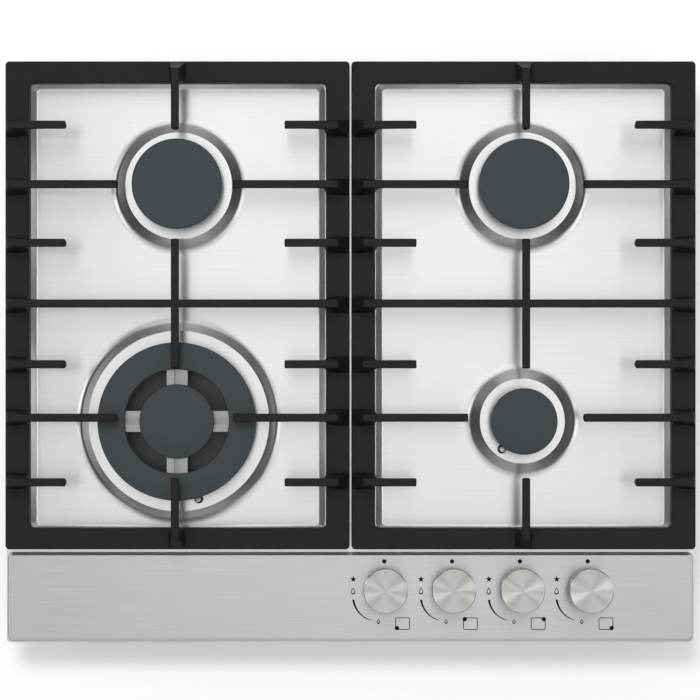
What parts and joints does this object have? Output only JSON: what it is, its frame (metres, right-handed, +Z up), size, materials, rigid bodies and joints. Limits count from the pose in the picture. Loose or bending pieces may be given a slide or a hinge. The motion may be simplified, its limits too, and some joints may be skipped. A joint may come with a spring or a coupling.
{
  "type": "gas cooktop",
  "caption": "Built-in gas cooktop: pressed steel plate with raised burners, one of them a wok burner, lift-off iron pan supports, and push-and-turn knobs on a front panel.",
  "frame": {"origin": "under the middle of the plate, at the underside of the bottom tray", "axes": "+X to the right, +Y to the back, away from the control panel, +Z up"},
  "size_m": [0.6, 0.506, 0.081],
  "materials": {
    "top_plate_steel": "brushed stainless sheet, long grain left to right",
    "seal_foam": "closed-cell foam strip",
    "tray_steel": "galvanised sheet",
    "clamp_steel": "galvanised sheet",
    "support_iron": "cast iron with matt enamel",
    "foot_rubber": "moulded",
    "cup_aluminium": "die cast",
    "crown_aluminium": "die cast",
    "cap_enamel": "fine matt enamel on steel",
    "igniter_ceramic": "glazed post with a steel tip",
    "knob_aluminium": "spun face, bright chamfer",
    "spindle_brass": "turned",
    "tap_aluminium": "die cast",
    "plug_brass": "turned and ground",
    "manifold_steel": "zinc-plated pipe",
    "inlet_brass": "turned",
    "tube_aluminium": "drawn and bent",
    "module_plastic": "moulded",
    "harness_rubber": "silicone-covered leads",
    "gland_plastic": "moulded"
  },
  "bodies": {
    "root": {"top_plate": "top_plate_steel", "worktop_seal": "seal_foam", "bottom_tray": "tray_steel", "burner_cup_wok": "cup_aluminium", "burner_cup_back_left": "cup_aluminium", "burner_cup_back_right": "cup_aluminium", "burner_cup_front_right": "cup_aluminium", "igniter_wok": "igniter_ceramic", "igniter_back_left": "igniter_ceramic", "igniter_back_right": "igniter_ceramic", "igniter_front_right": "igniter_ceramic", "gas_tap_1": "tap_aluminium", "gas_tap_2": "tap_aluminium", "gas_tap_3": "tap_aluminium", "gas_tap_4": "tap_aluminium", "gas_manifold": "manifold_steel", "gas_inlet": "inlet_brass", "gas_tube_wok": "tube_aluminium", "gas_tube_back_left": "tube_aluminium", "gas_tube_back_right": "tube_aluminium", "gas_tube_front_right": "tube_aluminium", "ignition_module": "module_plastic", "ignition_harness": "harness_rubber", "mains_gland": "gland_plastic"},
    "left_support": {"pan_support_left": "support_iron", "support_foot_left_1": "foot_rubber", "support_foot_left_2": "foot_rubber", "support_foot_left_3": "foot_rubber", "support_foot_left_4": "foot_rubber"},
    "right_support": {"pan_support_right": "support_iron", "support_foot_right_1": "foot_rubber", "support_foot_right_2": "foot_rubber", "support_foot_right_3": "foot_rubber", "support_foot_right_4": "foot_rubber"},
    "crown_wok": {"flame_crown_wok": "crown_aluminium"},
    "cap_wok": {"burner_cap_wok": "cap_enamel"},
    "crown_back_left": {"flame_crown_back_left": "crown_aluminium"},
    "cap_back_left": {"burner_cap_back_left": "cap_enamel"},
    "crown_back_right": {"flame_crown_back_right": "crown_aluminium"},
    "cap_back_right": {"burner_cap_back_right": "cap_enamel"},
    "crown_front_right": {"flame_crown_front_right": "crown_aluminium"},
    "cap_front_right": {"burner_cap_front_right": "cap_enamel"},
    "ring_cap_wok": {"wok_ring_cap": "cap_enamel"},
    "plug_1": {"tap_plug_1": "plug_brass"},
    "knob_1": {"control_knob_1": "knob_aluminium", "tap_spindle_1": "spindle_brass"},
    "plug_2": {"tap_plug_2": "plug_brass"},
    "knob_2": {"control_knob_2": "knob_aluminium", "tap_spindle_2": "spindle_brass"},
    "plug_3": {"tap_plug_3": "plug_brass"},
    "knob_3": {"control_knob_3": "knob_aluminium", "tap_spindle_3": "spindle_brass"},
    "plug_4": {"tap_plug_4": "plug_brass"},
    "knob_4": {"control_knob_4": "knob_aluminium", "tap_spindle_4": "spindle_brass"},
    "clamp_front_left": {"worktop_clamp_front_left": "clamp_steel"},
    "clamp_front_right": {"worktop_clamp_front_right": "clamp_steel"},
    "clamp_back_left": {"worktop_clamp_back_left": "clamp_steel"},
    "clamp_back_right": {"worktop_clamp_back_right": "clamp_steel"}
  },
  "joints": [
    {"name": "left_support_lift", "type": "slide", "parent": "root", "child": "left_support", "axis": [0, 0, 1], "range_m": [0, 0.08]},
    {"name": "right_support_lift", "type": "slide", "parent": "root", "child": "right_support", "axis": [0, 0, 1], "range_m": [0, 0.08]},
    {"name": "crown_wok_lift", "type": "slide", "parent": "root", "child": "crown_wok", "axis": [0, 0, 1], "range_m": [0, 0.0012]},
    {"name": "crown_back_left_lift", "type": "slide", "parent": "root", "child": "crown_back_left", "axis": [0, 0, 1], "range_m": [0, 0.015]},
    {"name": "crown_back_right_lift", "type": "slide", "parent": "root", "child": "crown_back_right", "axis": [0, 0, 1], "range_m": [0, 0.015]},
    {"name": "crown_front_right_lift", "type": "slide", "parent": "root", "child": "crown_front_right", "axis": [0, 0, 1], "range_m": [0, 0.015]},
    {"name": "cap_wok_lift", "type": "slide", "parent": "crown_wok", "child": "cap_wok", "axis": [0, 0, 1], "range_m": [0, 0.02]},
    {"name": "cap_back_left_lift", "type": "slide", "parent": "crown_back_left", "child": "cap_back_left", "axis": [0, 0, 1], "range_m": [0, 0.02]},
    {"name": "cap_back_right_lift", "type": "slide", "parent": "crown_back_right", "child": "cap_back_right", "axis": [0, 0, 1], "range_m": [0, 0.02]},
    {"name": "cap_front_right_lift", "type": "slide", "parent": "crown_front_right", "child": "cap_front_right", "axis": [0, 0, 1], "range_m": [0, 0.02]},
    {"name": "ring_cap_wok_lift", "type": "slide", "parent": "crown_wok", "child": "ring_cap_wok", "axis": [0, 0, 1], "range_m": [0, 0.0016]},
    {"name": "knob_1_turn", "type": "hinge", "parent": "root", "child": "plug_1", "pos_m": [0.03, -0.2054, 0.03], "axis": [0, 0, 1], "range_deg": [0, 170]},
    {"name": "knob_2_turn", "type": "hinge", "parent": "root", "child": "plug_2", "pos_m": [0.089, -0.2054, 0.03], "axis": [0, 0, 1], "range_deg": [0, 170]},
    {"name": "knob_3_turn", "type": "hinge", "parent": "root", "child": "plug_3", "pos_m": [0.148, -0.2054, 0.03], "axis": [0, 0, 1], "range_deg": [0, 170]},
    {"name": "knob_4_turn", "type": "hinge", "parent": "root", "child": "plug_4", "pos_m": [0.207, -0.2054, 0.03], "axis": [0, 0, 1], "range_deg": [0, 170]},
    {"name": "knob_1_push", "type": "slide", "parent": "plug_1", "child": "knob_1", "axis": [0, 0, -1], "range_m": [0, 0.0035], "stiffness_N_per_m": 600, "springref_m": -0.002},
    {"name": "knob_2_push", "type": "slide", "parent": "plug_2", "child": "knob_2", "axis": [0, 0, -1], "range_m": [0, 0.0035], "stiffness_N_per_m": 600, "springref_m": -0.002},
    {"name": "knob_3_push", "type": "slide", "parent": "plug_3", "child": "knob_3", "axis": [0, 0, -1], "range_m": [0, 0.0035], "stiffness_N_per_m": 600, "springref_m": -0.002},
    {"name": "knob_4_push", "type": "slide", "parent": "plug_4", "child": "knob_4", "axis": [0, 0, -1], "range_m": [0, 0.0035], "stiffness_N_per_m": 600, "springref_m": -0.002},
    {"name": "clamp_front_left_slide", "type": "slide", "parent": "root", "child": "clamp_front_left", "axis": [0, 0, 1], "range_m": [0, 0.01]},
    {"name": "clamp_front_right_slide", "type": "slide", "parent": "root", "child": "clamp_front_right", "axis": [0, 0, 1], "range_m": [0, 0.01]},
    {"name": "clamp_back_left_slide", "type": "slide", "parent": "root", "child": "clamp_back_left", "axis": [0, 0, 1], "range_m": [0, 0.01]},
    {"name": "clamp_back_right_slide", "type": "slide", "parent": "root", "child": "clamp_back_right", "axis": [0, 0, 1], "range_m": [0, 0.01]}
  ]
}
